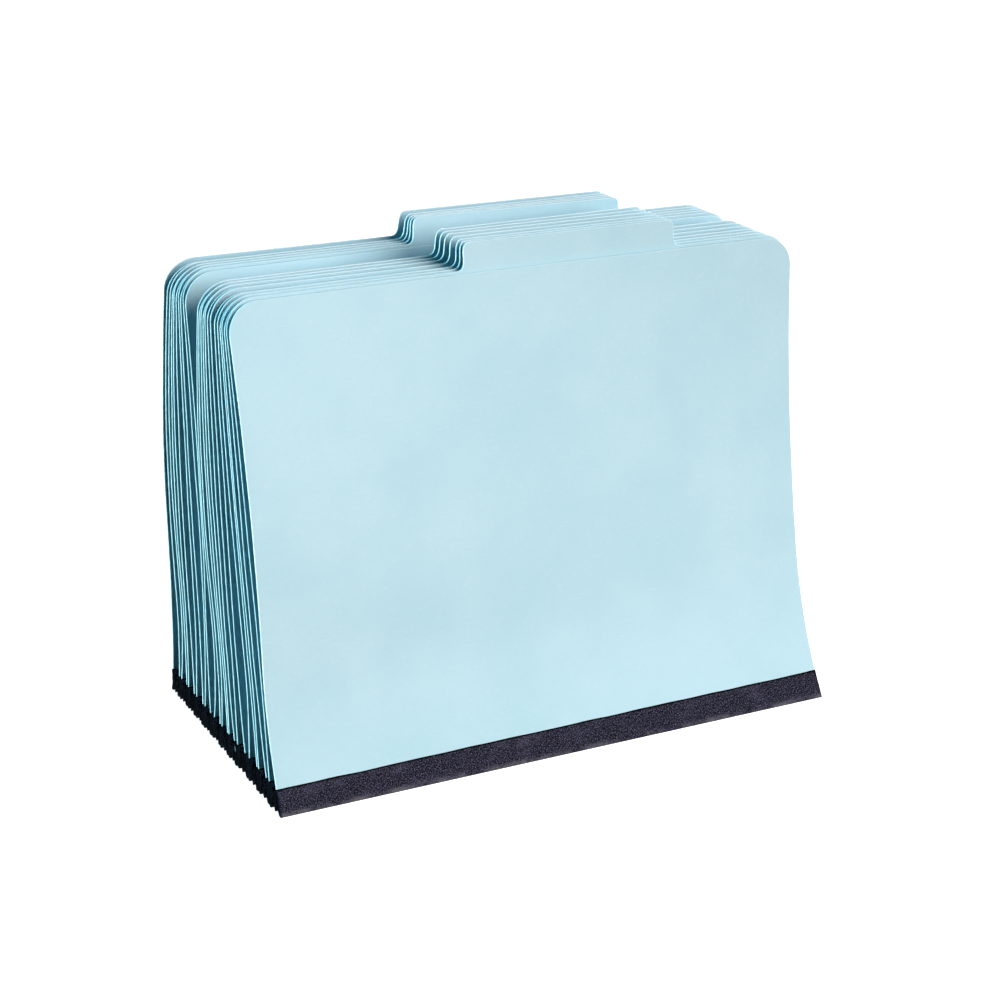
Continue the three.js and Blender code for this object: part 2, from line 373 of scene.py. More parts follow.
def bend_terms(x, z):
    """What each of the bend's terms multiplies at a place on a cover."""
    across = x / FOLDER_WIDTH + 0.5
    rise = z / BODY_HEIGHT
    flare = positive(1 - z / FLARE_HEIGHT) ** 2
    bow = 4 * rise * (1 - rise)
    crown = 4 * across * (1 - across)
    lean_terms = [rise, rise * across, rise * crown]
    return [rise * 0 + 1, across * (1 - flare), flare, *lean_terms, bow, bow * across]


def bent_depth(terms, x, z):
    return sum(term * share for term, share in zip(terms, bend_terms(x, z)))


def measure_leaf(node):
    """The bend of a cover's front face, worked out from the corners of its CAD solid."""
    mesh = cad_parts[node].data
    corners = np.empty(len(mesh.vertices) * 3)
    mesh.vertices.foreach_get("co", corners)
    corners = np.unique(corners.reshape(-1, 3).round(7), axis=0)
    front = {}
    for x, y, z in corners:
        front.setdefault((round(x, 6), round(z, 6)), []).append(y)
    pairs = [(x, z, min(ys)) for (x, z), ys in front.items() if len(ys) > 1]
    x, z, y = np.array(pairs).T
    shares = np.stack(bend_terms(x, z), axis=-1)
    return np.linalg.lstsq(shares, y, rcond=None)[0]


def cover_outline(height, tab_top):
    """The die-cut outline: points (x, z) a short step apart, anticlockwise from the lower left."""
    half = FOLDER_WIDTH / 2
    shoulder = height - CORNER_RADIUS

    def line(start, end):
        steps = max(1, round(math.dist(start, end) / CUT_STEP))
        way = np.array(end) - start
        return [tuple(np.array(start) + way * i / steps) for i in range(steps)]

    def corner(side, start):
        steps = round(CORNER_RADIUS * math.pi / 2 / CUT_STEP)
        turn = [start + math.pi / 2 * i / steps for i in range(steps)]
        middle = side * (half - CORNER_RADIUS)
        return [
            (middle + CORNER_RADIUS * math.cos(a), shoulder + CORNER_RADIUS * math.sin(a))
            for a in turn
        ]

    def tab_shoulder(start, end):
        steps = round(SHOULDER_STRETCH * (tab_top - height) / CUT_STEP)
        (x0, z0), (x1, z1) = start, end
        points = []
        for i in range(steps):
            t = i / steps
            a, b, c, d = (1 - t) ** 3, 3 * t * (1 - t) ** 2, 3 * t * t * (1 - t), t ** 3
            points.append(((a + c) * x0 + (b + d) * x1, (a + b) * z0 + (c + d) * z1))
        return points

    points = line((-half, BOARD_BOTTOM), (half, BOARD_BOTTOM))
    points += line((half, BOARD_BOTTOM), (half, shoulder))
    points += corner(1, 0)
    top_right = (half - CORNER_RADIUS, height)
    top_left = (-half + CORNER_RADIUS, height)
    if tab_top:
        reach = TAB_TOP_WIDTH / 2
        base_right = (TAB_CENTRE + reach + TAB_SHOULDER, height)
        base_left = (TAB_CENTRE - reach - TAB_SHOULDER, height)
        points += line(top_right, base_right)
        points += tab_shoulder(base_right, (TAB_CENTRE + reach, tab_top))
        points += line((TAB_CENTRE + reach, tab_top), (TAB_CENTRE - reach, tab_top))
        points += tab_shoulder((TAB_CENTRE - reach, tab_top), base_left)
        points += line(base_left, top_left)
    else:
        points += line(top_right, top_left)
    points += corner(-1, math.pi / 2)
    points += line((-half, shoulder), (-half, BOARD_BOTTOM))
    return np.array(points)


def inset(outline, distance):
    """An anticlockwise outline moved inwards."""
    along = np.roll(outline, -1, axis=0) - np.roll(outline, 1, axis=0)
    along /= np.linalg.norm(along, axis=1)[:, None]
    return outline + distance * np.stack([-along[:, 1], along[:, 0]], axis=-1)


def flat_board(name, height, tab_top):
    """A die-cut board, flat in X and Z, its front face at Y 0. The die rolls the front face over
    towards the cut rim, which the attribute cut_edge marks. The rim meets both faces sharply."""
    outline = cover_outline(height, tab_top)
    edge = inset(outline, ROLLED_WIDTH)
    keep = inset(outline, SHEET_MARGIN)
    back_drop = BOARD_THICKNESS - BURR_ROUNDING
    count = len(outline)
    half = FOLDER_WIDTH / 2
    columns = np.linspace(-half, half, round(2 * half / SHEET_STEP) + 1)
    rows = np.arange(BOARD_BOTTOM, (tab_top or height) + SHEET_STEP, SHEET_STEP)
    inner = [(x, z) for z in rows for x in columns if inside(keep, x, z)]
    ring = [(i, (i + 1) % count) for i in range(count)]
    corners = [Vector(p) for p in [*edge, *inner]]
    flat, _, sheet, origins, _, _ = delaunay_2d_cdt(corners, ring, [], 1, WELD_DISTANCE)
    place = {origin: new for new, found in enumerate(origins) for origin in found}
    rim = [place[i] for i in range(count)]
    total = len(flat)
    vertices = [(p.x, 0, p.y) for p in flat] + [(p.x, BOARD_THICKNESS, p.y) for p in flat]
    loops, cuts = [rim], [0] * (2 * total)
    for width, drop, cut in (
        (0.45 * ROLLED_WIDTH, 0.3 * ROLLED_DROP, 0.6),
        (0, ROLLED_DROP, 1),
        (0, back_drop, 1),
        (BACK_ROUNDING, BOARD_THICKNESS, 0),
    ):
        loops.append(range(len(vertices), len(vertices) + count))
        vertices += [(x, drop, z) for x, z in inset(outline, width)]
        cuts += [cut] * count
    loops.append([v + total for v in rim])
    faces = [tuple(face) for face in sheet]
    faces += [tuple(v + total for v in reversed(face)) for face in sheet]
    for front, back in zip(loops, loops[1:]):
        for i in range(count):
            j = (i + 1) % count
            faces.append((front[i], back[i], back[j], front[j]))
    board = new_piece(name, vertices, faces)
    board.data.attributes.new("cut_edge", "FLOAT", "POINT").data.foreach_set("value", cuts)
    crisp = {
        frozenset((loop[i], loop[(i + 1) % count]))
        for loop in (loops[0], loops[-1])
        for i in range(count)
    }
    for line in board.data.edges:
        line.use_edge_sharp = frozenset(line.vertices) in crisp
    return board


def inside(outline, x, z):
    """Whether a point lies inside a closed outline."""
    (x0, z0), (x1, z1) = outline.T, np.roll(outline, -1, axis=0).T
    crosses = (z0 > z) != (z1 > z)
    reach = x0 + (z - z0) * (x1 - x0) / np.where(z1 == z0, 1, z1 - z0)
    return bool(np.count_nonzero(crosses & (x < reach)) % 2)


def bend_tree():
    """Bends a flat board to its leaf, with the slow waves that an old board takes towards its
    neighbours, as far as the room on either side lets it, and frays its cut edge."""
    labels = [prefix + term for prefix in ("", "Ahead ", "Behind ") for term in TERMS]
    labels += ["Wave Length", "Wave Share", "Most Wave", "Fray", "Seed"]
    numbers = {label: "Float" for label in labels}
    inputs = {"Board": "Geometry", **numbers, "Finish": "Material"}
    tree, given, give = new_group("bent_board", "GeometryNodeTree", inputs, {"Board": "Geometry"})
    spot = Value(tree, tree.nodes.new("GeometryNodeInputPosition").outputs[0])
    x, _, z = parts(tree, spot)

    def depth(prefix):
        return bent_depth([given[prefix + term] for term in TERMS], x, z)

    slow = vector(tree, x / given["Wave Length"] / 2, given["Seed"], z / given["Wave Length"])
    drift = noise(tree, slow, scale=1.0, detail=1.5, roughness=0.45, seed=given["Seed"])
    wave = (drift - 0.5) * WAVE_GAIN
    wave = wave.math("MINIMUM", 1.0).math("MAXIMUM", -1.0)
    above_tape = ramp(tree, z, *[TAPE_TOP + rise for rise in CALM_ABOVE_TAPE])
    near_top = ramp(tree, z, *[BODY_HEIGHT - drop for drop in CALM_BELOW_TOP])
    below_top = 1 - near_top * CALM_TOP_SHARE
    off_centre = ramp(tree, x.math("ABSOLUTE"), CALM_CENTRE, FOLDER_WIDTH / 2)
    room_behind = depth("Behind ").math("MINIMUM", given["Most Wave"])
    room_ahead = depth("Ahead ").math("MINIMUM", given["Most Wave"])
    sway = positive(wave) * room_behind - positive(wave * -1) * room_ahead
    sway = sway * given["Wave Share"] * above_tape * below_top * off_centre
    bent = vector(tree, 0.0, depth("") + sway, 0.0)

    cut = tree.nodes.new("GeometryNodeInputNamedAttribute")
    cut.data_type = "FLOAT"
    cut.inputs["Name"].default_value = "cut_edge"
    grain = noise(tree, spot, 1 / CUT_STEP, roughness=0.6, seed=given["Seed"], output="Color")
    fray = tree.nodes.new("ShaderNodeVectorMath")
    fray.operation = "SUBTRACT"
    plug(tree, grain, fray.inputs[0])
    fray.inputs[1].default_value = (0.5, 0.5, 0.5)
    torn = tree.nodes.new("ShaderNodeVectorMath")
    torn.operation = "SCALE"
    tree.links.new(fray.outputs[0], torn.inputs[0])
    plug(tree, Value(tree, cut.outputs["Attribute"]) * given["Fray"], torn.inputs["Scale"])
    moved = tree.nodes.new("ShaderNodeVectorMath")
    moved.operation = "ADD"
    plug(tree, bent, moved.inputs[0])
    tree.links.new(torn.outputs[0], moved.inputs[1])

    bend = tree.nodes.new("GeometryNodeSetPosition")
    plug(tree, given["Board"], bend.inputs["Geometry"])
    tree.links.new(moved.outputs[0], bend.inputs["Offset"])
    finish = tree.nodes.new("GeometryNodeSetMaterial")
    tree.links.new(bend.outputs[0], finish.inputs["Geometry"])
    plug(tree, given["Finish"], finish.inputs["Material"])
    give("Board", Value(tree, finish.outputs[0]))
    return tree


# Finishes
def fibre_group():
    """Pressed wood fibre: soft clouds, long pale fibres, dark flecks and the grain's height."""
    inputs = {"Place": "Vector", "Grain": "Float"}
    outputs = {"Cloud": "Float", "Fibre": "Float", "Fleck": "Float", "Height": "Float"}
    tree, given, give = new_group("pressed_fibre", "ShaderNodeTree", inputs, outputs)
    place = given["Place"]
    cloud = noise(tree, place, CLOUD_SCALE, detail=3.0, roughness=0.55)
    fine = noise(tree, place, GRAIN_SCALE, detail=3.0, roughness=0.6)
    x, y, z = parts(tree, place)
    long_fibre = noise(tree, vector(tree, x * 0.35, y, z), LONG_FIBRE_SCALE)
    cross_fibre = noise(tree, vector(tree, x, y, z * 0.3), CROSS_FIBRE_SCALE)
    specks = tree.nodes.new("ShaderNodeTexVoronoi")
    specks.feature = "F1"
    plug(tree, place, specks.inputs["Vector"])
    specks.inputs["Scale"].default_value = FLECK_SCALE
    fleck = 1 - ramp(tree, Value(tree, specks.outputs["Distance"]), 0.08, 0.22)
    chosen = ramp(tree, noise(tree, place, FLECK_PATCH_SCALE, detail=1.0), 0.56, 0.66)
    give("Cloud", ramp(tree, cloud, 0.3, 0.7))
    give("Fibre", ramp(tree, long_fibre, 0.52, 0.78) + ramp(tree, cross_fibre, 0.56, 0.8) * 0.6)
    give("Fleck", fleck * chosen)
    give("Height", (fine * 0.6 + long_fibre * 0.5 + cross_fibre * 0.4) * given["Grain"])
    return tree


def weave_group():
    """Plain-woven cloth: its height, how deep a point lies between its threads, the slubs that
    make its salt-and-pepper grain, and its wrinkles."""
    inputs = {"Cloth": "Vector", "Thread": "Float"}
    outputs = {"Height": "Float", "Gap": "Float", "Slub": "Float", "Wrinkle": "Float"}
    tree, given, give = new_group("plain_weave", "ShaderNodeTree", inputs, outputs)
    u, v, _ = parts(tree, given["Cloth"])
    drift = (noise(tree, given["Cloth"], DRIFT_SCALE) - 0.5) * THREAD_DRIFT
    warp = ((u + drift) * math.pi / given["Thread"]).math("SINE")
    weft = ((v + drift) * math.pi / given["Thread"]).math("SINE")
    over = (warp * weft) * 0.5 + 0.5
    thick = warp.math("ABSOLUTE") * over + weft.math("ABSOLUTE") * (1 - over)
    slub = noise(tree, vector(tree, u * 0.4, v, 0.0), SLUB_SCALE)
    slub += noise(tree, vector(tree, u, v * 0.4, 3.0), SLUB_SCALE)
    folds = vector(tree, u * 0.6, v, 7.0)
    wrinkle = noise(tree, folds, WRINKLE_SCALE, detail=3.0, roughness=0.6)
    give("Height", thick)
    give("Gap", 1 - thick)
    give("Slub", ramp(tree, slub, 1.0, 1.22))
    give("Wrinkle", wrinkle)
    return tree


def mix(tree, share, first, second):
    """A colour between two, each a colour or a Value."""
    node = tree.nodes.new("ShaderNodeMix")
    node.data_type = "RGBA"
    plug(tree, share, node.inputs["Factor"])
    for label, colour in (("A", first), ("B", second)):
        slot = next(s for s in node.inputs if s.name == label and s.type == "RGBA")
        plug(tree, colour, slot)
    return Value(tree, next(s for s in node.outputs if s.type == "RGBA"))


def new_material(name):
    """A material, with its node tree and its Principled shader."""
    material = bpy.data.materials.new(name)
    material.use_nodes = True
    tree = material.node_tree
    shader = next(n for n in tree.nodes if n.type == "BSDF_PRINCIPLED")
    return material, tree, shader


def bump(tree, shader, height, distance):
    node = tree.nodes.new("ShaderNodeBump")
    node.inputs["Distance"].default_value = distance
    node.inputs["Strength"].default_value = 1.0
    plug(tree, height, node.inputs["Height"])
    tree.links.new(node.outputs["Normal"], shader.inputs["Normal"])


def attribute(tree, name):
    node = tree.nodes.new("ShaderNodeAttribute")
    node.attribute_name = name
    return Value(tree, node.outputs["Fac"])


def pressboard_material(fibre):
    """Pale blue board. Its cut rim is white with pressed knots, partly as the cut fibre's own paler
    colour and partly as a painted highlight. Where the rim faces up or to the right, along the top
    and the right end, painted shade takes most of that white back to the board's colour."""
    material, tree, shader = new_material("blue_pressboard")
    place = Value(tree, tree.nodes.new("ShaderNodeTexCoord").outputs["Object"])
    board = use_group(tree, fibre, Place=place, Grain=1.0)
    colour = mix(tree, board["Cloud"], BOARD_BLUE, BOARD_CLOUD)
    colour = mix(tree, board["Fibre"] * 0.22, colour, BOARD_FIBRE)
    colour = mix(tree, board["Fleck"] * 0.35, colour, BOARD_FLECK)
    cut = attribute(tree, "cut_edge")
    normal = Value(tree, tree.nodes.new("ShaderNodeNewGeometry").outputs["Normal"])
    rightward, _, upward = parts(tree, normal)
    # Painted shade: the rims that face up or to the right lose most of their white
    painted_shade_up_right = ramp(tree, upward.math("MAXIMUM", rightward), 0.1, 0.35)
    knots = ramp(tree, noise(tree, place, KNOT_SCALE, roughness=0.7), 0.36, 0.5)
    pale_rim_and_highlight = cut * (knots * 0.45 + 0.5) * (1 - painted_shade_up_right * 0.9)
    # The rim's white is partly cut fibre and partly a painted highlight
    colour = mix(tree, pale_rim_and_highlight, colour, BOARD_CUT_AND_HIGHLIGHT)
    plug(tree, colour, shader.inputs["Base Color"])
    plug(tree, board["Fibre"] * 0.06 + 0.74 + cut * 0.15, shader.inputs["Roughness"])
    shader.inputs["Specular IOR Level"].default_value = 0.2
    bump(tree, shader, board["Height"], BOARD_RELIEF)
    return material


def cloth_material(weave):
    """Black cloth tape with painted shade between its threads, greyer along the crease at its foot,
    with painted shade on its ends, which face sideways, and a painted shadow line along its top.
    """
    material, tree, shader = new_material("black_cloth_tape")
    uv = tree.nodes.new("ShaderNodeUVMap")
    uv.uv_map = "cloth"
    cloth = use_group(tree, weave, Cloth=Value(tree, uv.outputs[0]), Thread=THREAD)
    colour = mix(tree, cloth["Slub"] * 0.8, TAPE_BLACK, TAPE_WORN)
    # Painted shade between the threads
    colour = mix(tree, cloth["Gap"] * 0.7, colour, TAPE_PAINTED_SHADE)
    colour = mix(tree, ramp(tree, cloth["Wrinkle"], 0.5, 0.75) * 0.1, colour, TAPE_WORN)
    place = Value(tree, tree.nodes.new("ShaderNodeTexCoord").outputs["Object"])
    height = parts(tree, place)[2]
    rubbed = ramp(tree, noise(tree, place, CREASE_SCALE, detail=4.0, roughness=0.7), 0.38, 0.62)
    crease = (1 - ramp(tree, height, *CREASE_HEIGHTS)) * rubbed
    colour = mix(tree, crease * 0.45, colour, TAPE_CREASE)
    # Painted shade on the faces that point sideways, the tape's cut ends, and a painted shadow line
    # along the tape's top edge
    geometry = tree.nodes.new("ShaderNodeNewGeometry")
    sideways = parts(tree, Value(tree, geometry.outputs["Normal"]))[0].math("ABSOLUTE")
    painted_top_shadow = ramp(tree, height, *[TAPE_TOP - depth for depth in TOP_SHADOW_DEPTHS])
    cut = (ramp(tree, sideways, 0.25, 0.6) + painted_top_shadow).math("MINIMUM", 0.96)
    colour = mix(tree, cut, colour, TAPE_PAINTED_SHADE)
    plug(tree, colour, shader.inputs["Base Color"])
    plug(tree, cloth["Slub"] * -0.12 + 0.78, shader.inputs["Roughness"])
    shader.inputs["Specular IOR Level"].default_value = 0.02
    relief = cloth["Height"] * 0.5 + cloth["Slub"] * 0.5 + cloth["Wrinkle"] * 4
    bump(tree, shader, relief, CLOTH_RELIEF)
    return material


def steel_material(fibre):
    """Plated sheet steel, drawn along the fastener."""
    material, tree, shader = new_material("plated_steel")
    place = Value(tree, tree.nodes.new("ShaderNodeTexCoord").outputs["Object"])
    x, y, z = parts(tree, place)
    drawn = noise(tree, vector(tree, x * 0.05, y, z), DRAWN_SCALE)
    haze = use_group(tree, fibre, Place=place, Grain=1.0)["Cloud"]
    plug(tree, mix(tree, drawn * 0.4 + haze * 0.3, STEEL, STEEL_DULL), shader.inputs["Base Color"])
    shader.inputs["Metallic"].default_value = 1.0
    plug(tree, drawn * 0.2 + 0.24, shader.inputs["Roughness"])
    bump(tree, shader, drawn, STEEL_RELIEF)
    return material


# Covers
def cover_nodes():
    """The covers from the front of the set to its rear, as (node, body, whether it has a tab)."""
    covers = []
    for index in range(FOLDERS):
        covers.append((f"front_cover_{number(index)}", f"front_{number(index)}", False))
        covers.append((f"rear_cover_{number(index)}", f"folder_{number(index)}", True))
    return covers


def make_covers(leaves, material):
    """Every cover: its flat blank, bent to its leaf and kept clear of its neighbours' leaves."""
    tree = bend_tree()
    blanks = {
        False: flat_board("front_blank", FRONT_HEIGHT, None),
        True: flat_board("rear_blank", BODY_HEIGHT, TAB_TOP),
    }
    evenly = np.eye(len(TERMS))[0]
    thickness = BOARD_THICKNESS * evenly
    open_side = OPEN_SIDE * evenly
    for order, (node, body, has_tab) in enumerate(cover_nodes()):
        own = leaves[order]
        is_last = order + 1 == len(leaves)
        ahead = own - leaves[order - 1] - thickness if order else open_side
        behind = open_side if is_last else leaves[order + 1] - own - thickness
        cover = blanks[has_tab].copy()
        cover.data = cover.data.copy()
        cover.name = node.replace("cover", "pressboard")
        bpy.context.scene.collection.objects.link(cover)
        modifier = cover.modifiers.new("bend", "NODES")
        modifier.node_group = tree
        values = {
            "Wave Length": WAVE_LENGTH,
            "Wave Share": WAVE_SHARE if order else FRONT_WAVE_SHARE,
            "Most Wave": MOST_WAVE,
            "Fray": FRAY,
            "Seed": WAVE_SEED_STEP * (order + 1),
            "Finish": material,
        }
        for prefix, terms in (("", own), ("Ahead ", ahead), ("Behind ", behind)):
            values.update({prefix + label: float(term) for label, term in zip(TERMS, terms)})
        set_inputs(modifier, values)
        bake(cover)
        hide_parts(node)
        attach(cover, body)
    for blank in blanks.values():
        bpy.data.objects.remove(blank)


# Cloth tape
def rounded(corners):
    """A line of (offset, height) points with its inner corners rounded."""
    line = [np.array(corners[0], float)]
    for before, corner, after in zip(corners, corners[1:], corners[2:]):
        corner = np.array(corner, float)
        back, on = np.array(before) - corner, np.array(after) - corner
        reach = min(FOLD_RADIUS, 0.45 * np.linalg.norm(back), 0.45 * np.linalg.norm(on))
        start = corner + back / np.linalg.norm(back) * reach
        end = corner + on / np.linalg.norm(on) * reach
        for i in range(FOLD_STEPS + 1):
            t = i / FOLD_STEPS
            line.append((1 - t) ** 2 * start + 2 * t * (1 - t) * corner + t * t * end)
    line.append(np.array(corners[-1], float))
    return spaced(line)


def spaced(line):
    """The same line with more points where they lie far apart."""
    line = np.array(line)
    points = [line[0]]
    for start, end in zip(line, line[1:]):
        steps = max(1, math.ceil(np.linalg.norm(end - start) / LINE_STEP))
        points += [start + (end - start) * i / steps for i in range(1, steps + 1)]
    return np.array(points)


def ribbon(line, place, board_middle, seed):
    """A strip of tape: a line of (offset, height) points with the tape's thickness, carried
    across the folder's width. place gives the depth of a point from x, offset and height. At
    both ends the tape that hugs a board closes over the board's cut edge, board_middle being
    the board's own offset. The strip comes as vertices, faces, each vertex's place on the flat
    cloth, and its length."""
    along = np.gradient(line, axis=0)
    along /= np.linalg.norm(along, axis=1)[:, None]
    out = np.stack([-along[:, 1], along[:, 0]], axis=-1) * TAPE_THICKNESS / 2
    profile = np.concatenate([line + out, (line - out)[::-1]])
    length = np.concatenate([[0], np.cumsum(np.linalg.norm(np.diff(line, axis=0), axis=1))])
    cloth_v = np.concatenate([length, length[::-1]])
    half = FOLDER_WIDTH / 2
    across = np.linspace(-half, half, round(FOLDER_WIDTH / TAPE_STEP) + 1)
    across = [-half - TAPE_OVERHANG, *across, half + TAPE_OVERHANG]
    stations = len(across)
    pucker, end = slow_noise(seed), slow_noise(seed + 0.5)
    hugs = abs(profile[:, 0] - board_middle) < HUG_REACH
    for_edge = np.where(hugs, board_middle - profile[:, 0], 0) * END_PINCH
    vertices = []
    for x in across:
        is_end = abs(x) > half
        height = np.maximum(profile[:, 1], 0)
        loose = np.clip((height - PUCKER_START) / PUCKER_RISE, 0, 1)
        height = height + PUCKER * pucker(x, cloth_v) * loose
        depth = place(x, profile[:, 0] + for_edge * is_end, height)
        ragged = x * (1 + is_end * TAPE_OVERHANG * RAGGED_SHARE * end(x, cloth_v) / half)
        vertices.append(np.stack([ragged + 0 * depth, depth, height], axis=-1))
    count = len(profile)
    vertices = np.concatenate(vertices)
    faces = []
    for station in range(stations - 1):
        start = station * count
        for i in range(count):
            j = (i + 1) % count
            faces.append((start + i, start + j, start + count + j, start + count + i))
    for i in range(count // 2 - 1):
        j = count - 1 - i
        cap = (i, j, j - 1, i + 1)
        last = (stations - 1) * count
        faces.append(cap)
        faces.append(tuple(last + v for v in reversed(cap)))
    flat = np.stack([vertices[:, 0], np.tile(cloth_v, stations)], axis=-1) + seed
    return vertices, faces, flat, float(length[-1])


def tape_piece(name, lines, place, board_middle, material, seed):
    """One piece of tape from several ribbons, and the length that its cloth was cut to."""
    vertices, faces, flat, length = [], [], [], 0
    for line in lines:
        start = sum(len(v) for v in vertices)
        points, sides, spots, reach = ribbon(line, place, board_middle, seed)
        vertices.append(points)
        flat.append(spots + (0, length))
        faces += [tuple(start + v for v in side) for side in sides]
        length += reach
    piece = new_piece(name, np.concatenate(vertices), faces, material)
    corners = np.empty(len(piece.data.loops), int)
    piece.data.loops.foreach_get("vertex_index", corners)
    layer = piece.data.uv_layers.new(name="cloth")
    layer.data.foreach_set("uv", np.concatenate(flat)[corners].astype(np.float32).ravel())
    if signed_volume(piece.data) < 0:
        piece.data.flip_normals()
    return piece, length


def signed_volume(mesh):
    """Six times a closed mesh's volume, below 0 where its normals point inwards."""
    mesh.calc_loop_triangles()
    points = np.array([v.co for v in mesh.vertices])
    a, b, c = points[np.array([t.vertices for t in mesh.loop_triangles])].transpose(1, 0, 2)
    return float((a * np.cross(b, c)).sum())


def slow_noise(seed):
    """A smooth random function of two lengths, from -1 to 1, always the same for one seed."""
    draw = random.Random(seed)
    waves = [
        (draw.uniform(*PUCKER_ACROSS), draw.uniform(*PUCKER_UP), draw.uniform(0, 7))
        for _ in range(PUCKER_WAVES)
    ]

    def value(x, v):
        return sum(np.sin(x / a * TURN + v / b * TURN + c) for a, b, c in waves) / PUCKER_SUM

    return value


def make_strip(index, front, material):
    """The strip folded round the foot of a front cover."""
    line = [(LINING, TAPE_TOP), (LINING, TAPE_MIDDLE), (OUTSIDE, TAPE_MIDDLE), (OUTSIDE, TAPE_TOP)]

    def place(x, offset, height):
        return bent_depth(front, x, height) + offset

    name, seed = f"tape_strip_{number(index)}", 2 * index + 1
    strip, length = tape_piece(name, [rounded(line)], place, BOARD_THICKNESS / 2, material, seed)
    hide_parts(f"front_tape_{number(index)}")
    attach(strip, f"front_{number(index)}")


def make_gusset(index, front, rear, material):
    """The two pleats between the covers, and the strips on both sides of the rear cover."""
    foot_gap = bent_depth(rear, 0.0, 0.0) - bent_depth(front, 0.0, 0.0)
    inner = LINING + TAPE_MIDDLE + PLEAT_CLEARANCE
    span = float(foot_gap + BOARD_THICKNESS - 2 * inner)
    pitch = span / 4
    peak = PLEAT_PEAK - TAPE_MIDDLE
    line = [(-PLEAT_CLEARANCE, TAPE_MIDDLE), (PLEAT_REST, TAPE_MIDDLE)]
    line += [(pitch, peak), (2 * pitch, TAPE_MIDDLE), (3 * pitch, peak)]
    beyond = span + inner + GLUE_GAP + TAPE_MIDDLE
    line += [(span - PLEAT_REST, TAPE_MIDDLE), (beyond, TAPE_MIDDLE), (beyond, TAPE_TOP)]
    behind = span + PLEAT_CLEARANCE + TAPE_MIDDLE
    lines = [rounded(line), spaced([(behind, TAPE_MIDDLE), (behind, TAPE_TOP)])]

    def place(x, offset, height):
        first = bent_depth(front, x, height) + inner
        last = bent_depth(rear, x, height) + BOARD_THICKNESS - inner
        share = np.clip(offset, 0, span) / span
        past = np.minimum(offset, 0) + np.maximum(offset - span, 0)
        return first + (last - first) * share + past

    name, seed = f"pleated_gusset_{number(index)}", 2 * index + 2
    board_middle = span + inner - BOARD_THICKNESS / 2
    pleats, length = tape_piece(name, lines, place, board_middle, material, seed)
    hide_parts(f"gusset_{number(index)}")
    foot = float(bent_depth(front, 0.0, 0.0)) + inner
    foot + span
    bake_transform(pleats)


def make_tapes(leaves, material):
    for index in range(FOLDERS):
        front, rear = leaves[2 * index], leaves[2 * index + 1]
        make_strip(index, front, material)
        make_gusset(index, front, rear, material)


# Fasteners
def bar_outline(width, height):
    """A bar with round ends, as points (x, z) anticlockwise."""
    radius = height / 2
    half = width / 2 - radius
    points = []
    for side in (1, -1):
        for i in range(ROUND_END_POINTS):
            a = math.pi * (i / (ROUND_END_POINTS - 1) - 0.5)
            points.append((side * (half + radius * math.cos(a)), side * radius * math.sin(a)))
    return np.array(points)


def prong_outline(side):
    """A prong folded down towards the fastener's middle, with a narrower tip."""
    root, tip = PRONG_SPACING / 2, PRONG_SPACING / 2 - PRONG_LENGTH
    half = PRONG_WIDTH / 2
    points = [(root, -half), (root, half), (tip + half, half)]
    points += [(tip, half / 3), (tip, -half / 3), (tip + half, -half)]
    return np.array(points) * (side, 1)


def plate(outline, low, high):
    """A thin plate with broken edges, from low to high above the board, as vertices and faces."""
    if area(outline) < 0:
        outline = outline[::-1]
    small = inset(outline, PLATE_CHAMFER)
    count = len(outline)
    rings = [(small, low), (outline, low + PLATE_CHAMFER)]
    rings += [(outline, high - PLATE_CHAMFER), (small, high)]
    vertices = [(x, -height, z) for ring, height in rings for x, z in ring]
    faces = [tuple(range(count))[::-1], tuple(range(3 * count, 4 * count))]
    for ring in range(3):
        for i in range(count):
            j = (i + 1) % count
            a, b = ring * count, (ring + 1) * count
            faces.append((a + i, a + j, b + j, b + i))
    return vertices, faces


def area(outline):
    """An outline's area, below 0 where it runs clockwise."""
    x, z = np.array(outline).T
    return float((x * np.roll(z, -1) - np.roll(x, -1) * z).sum() / 2)


def fastener_mesh(material):
    """A prong fastener round its own centre: X along it, Y into the board, Z up the board."""
    prong_top = STRIP_THICKNESS + PRONG_THICKNESS
    bar_top = prong_top + BAR_THICKNESS
    plates = [plate(bar_outline(FASTENER_WIDTH, FASTENER_HEIGHT), 0, STRIP_THICKNESS)]
    for side in (-1, 1):
        plates.append(plate(prong_outline(side), STRIP_THICKNESS + STACK_GAP, prong_top))
    rail = BAR_HEIGHT * RAIL_SHARE
    slide_x, slide_z = SLIDE_HALF_WIDTH, SLIDE_HALF_HEIGHT
    corners = [(-slide_x, -slide_z), (slide_x, -slide_z), (slide_x, slide_z), (-slide_x, slide_z)]
    for side in (-1, 1):
        outline = bar_outline(BAR_WIDTH - RAIL_SHORTER, rail)
        outline = outline + (0, side * (BAR_HEIGHT - rail) / 2)
        plates.append(plate(outline, prong_top + STACK_GAP, bar_top))
        end = bar_outline(BAR_END, BAR_HEIGHT) + (side * (BAR_WIDTH - BAR_END) / 2, 0)
        plates.append(plate(end, prong_top + 2 * STACK_GAP, bar_top - STACK_GAP))
        slide = np.array(corners) * MM + (side * SLIDE_PLACE, 0)
        plates.append(plate(slide, bar_top - SLIDE_DEPTH, bar_top + SLIDE_RISE))
    vertices, faces = [], []
    for points, sides in plates:
        start = len(vertices)
        vertices += points
        faces += [tuple(start + v for v in face) for face in sides]
    return new_piece("fastener_pattern", vertices, faces, material)


